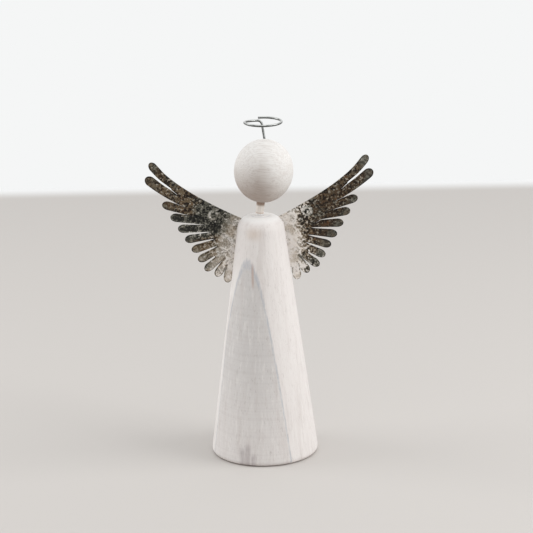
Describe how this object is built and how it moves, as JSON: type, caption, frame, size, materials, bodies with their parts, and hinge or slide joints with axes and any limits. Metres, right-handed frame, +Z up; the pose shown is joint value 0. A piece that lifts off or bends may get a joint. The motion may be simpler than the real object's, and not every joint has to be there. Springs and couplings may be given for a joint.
{
  "type": "angel figurine",
  "caption": "Free-standing wooden angel ornament: whitewashed cone body, ball head on a dowel neck, bent-wire halo and cut sheet-metal feathered wings nailed to the back.",
  "frame": {"origin": "centre of the flat foot of the body, on the surface it stands on", "axes": "+Z up along the body, the front of the figure faces -Y, +X to the right of someone who looks at the front"},
  "size_m": [0.1152, 0.0546, 0.1749],
  "materials": {
    "whitewashed_body": "thin matt whitewash over straight grain",
    "whitewashed_ball": "thin matt whitewash over level grain",
    "whitewashed_dowel": "worn whitewash",
    "halo_wire": "bright drawn wire",
    "wing_sheet": "mottled, tarnished silver sheet with dark edges",
    "nail_steel": "plain steel"
  },
  "bodies": {
    "root": {"body": "whitewashed_body", "neck_dowel": "whitewashed_dowel", "head": "whitewashed_ball", "halo": "halo_wire", "left_wing": "wing_sheet", "right_wing": "wing_sheet", "left_upper_nail": "nail_steel", "left_lower_nail": "nail_steel", "right_upper_nail": "nail_steel", "right_lower_nail": "nail_steel"}
  },
  "joints": []
}
